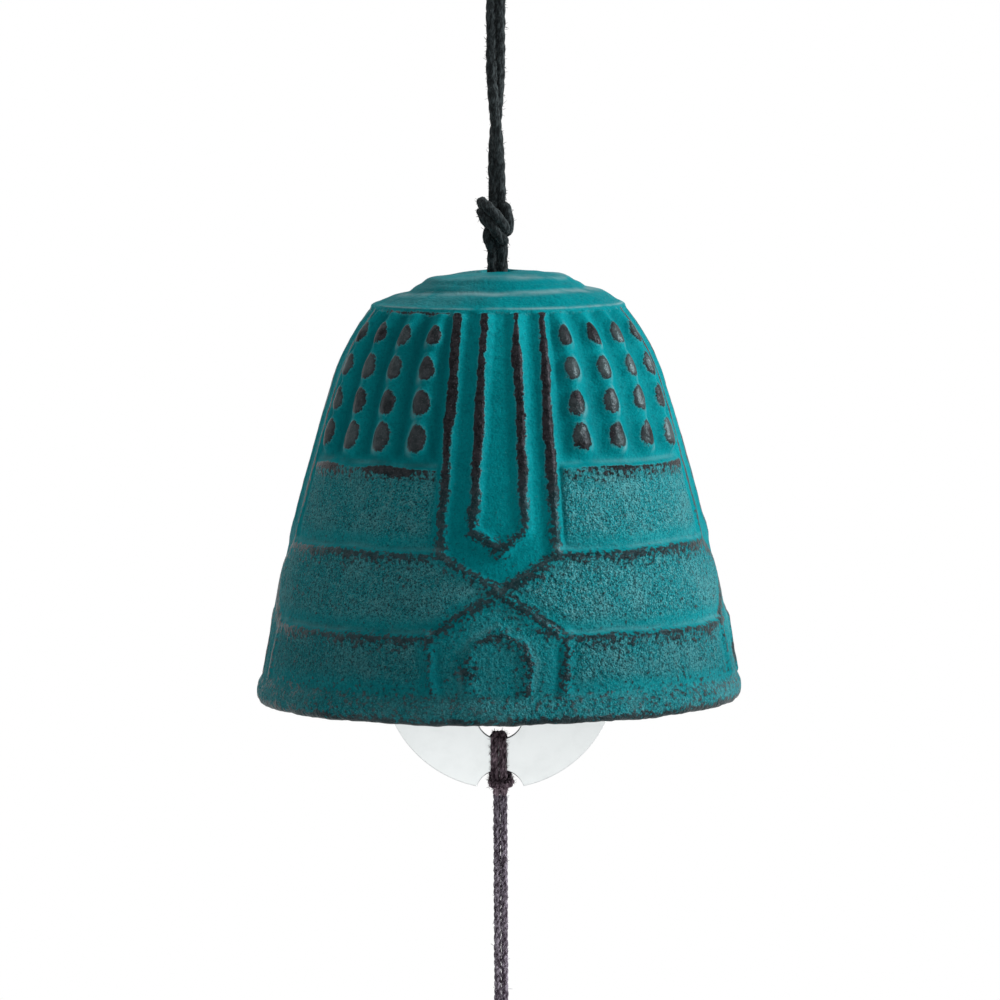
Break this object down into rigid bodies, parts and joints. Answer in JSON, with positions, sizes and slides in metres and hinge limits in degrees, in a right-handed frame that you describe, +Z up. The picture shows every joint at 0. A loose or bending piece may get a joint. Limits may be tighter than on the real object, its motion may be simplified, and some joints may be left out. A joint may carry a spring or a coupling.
{
  "type": "wind bell",
  "caption": "Cast-iron wind bell of the temple-bell pattern, hung from a knotted cord, with a flat notched clapper on a thread and a paper strip that catches the wind.",
  "frame": {"origin": "where the hanging loop bears on its hook, at the top of the cord", "axes": "+Z up along the hanging cord, -Y out of the front face, +X to the right seen from the front"},
  "size_m": [0.07, 0.07, 0.2986],
  "materials": {
    "bell_iron": "teal paint rubbed dark on the relief",
    "clapper_metal": "satin sheet",
    "washer_steel": "plain",
    "black_cord": "twisted cotton",
    "plum_thread": "twisted cotton",
    "strip_paper": "handmade paper"
  },
  "bodies": {
    "hook_loop": {"hanging_loop": "black_cord"},
    "cord": {"hanging_cord": "black_cord", "upper_knot": "black_cord"},
    "bell": {"crown_cord": "black_cord", "bell_shell": "bell_iron", "crown_washer": "washer_steel", "stop_knot": "black_cord"},
    "clapper_line": {"line_knot": "plum_thread"},
    "clapper": {"clapper_thread": "plum_thread", "upper_hitch": "plum_thread", "clapper_disc": "clapper_metal", "lower_hitch": "plum_thread"},
    "wind_line": {"wind_thread": "plum_thread"},
    "strip_hanger": {"strip_knot": "plum_thread", "strip_loop": "plum_thread"},
    "strip": {"paper_strip": "strip_paper"}
  },
  "joints": [
    {"name": "cord_swing", "type": "hinge", "parent": "hook_loop", "child": "cord", "pos_m": [0, 0, -0.0136], "axis": [0, 1, 0], "range_deg": [-40, 40]},
    {"name": "bell_swing", "type": "hinge", "parent": "cord", "child": "bell", "pos_m": [0, 0, -0.0526], "axis": [1, 0, 0], "range_deg": [-30, 30]},
    {"name": "clapper_turn", "type": "hinge", "parent": "bell", "child": "clapper_line", "pos_m": [0, 0, -0.064], "axis": [0, 0, 1], "continuous": true},
    {"name": "clapper_swing", "type": "hinge", "parent": "clapper_line", "child": "clapper", "pos_m": [0, 0, -0.0683], "axis": [0, 1, 0], "range_deg": [-16.5, 16.5]},
    {"name": "wind_swing", "type": "hinge", "parent": "clapper", "child": "wind_line", "pos_m": [0, 0, -0.13099], "axis": [1, 0, 0], "range_deg": [-60, 60]},
    {"name": "strip_turn", "type": "hinge", "parent": "wind_line", "child": "strip_hanger", "pos_m": [0, 0, -0.16299], "axis": [0, 0, 1], "continuous": true},
    {"name": "strip_flap", "type": "hinge", "parent": "strip_hanger", "child": "strip", "pos_m": [0, 0, -0.17259], "axis": [1, 0, 0], "range_deg": [-20, 20]}
  ]
}
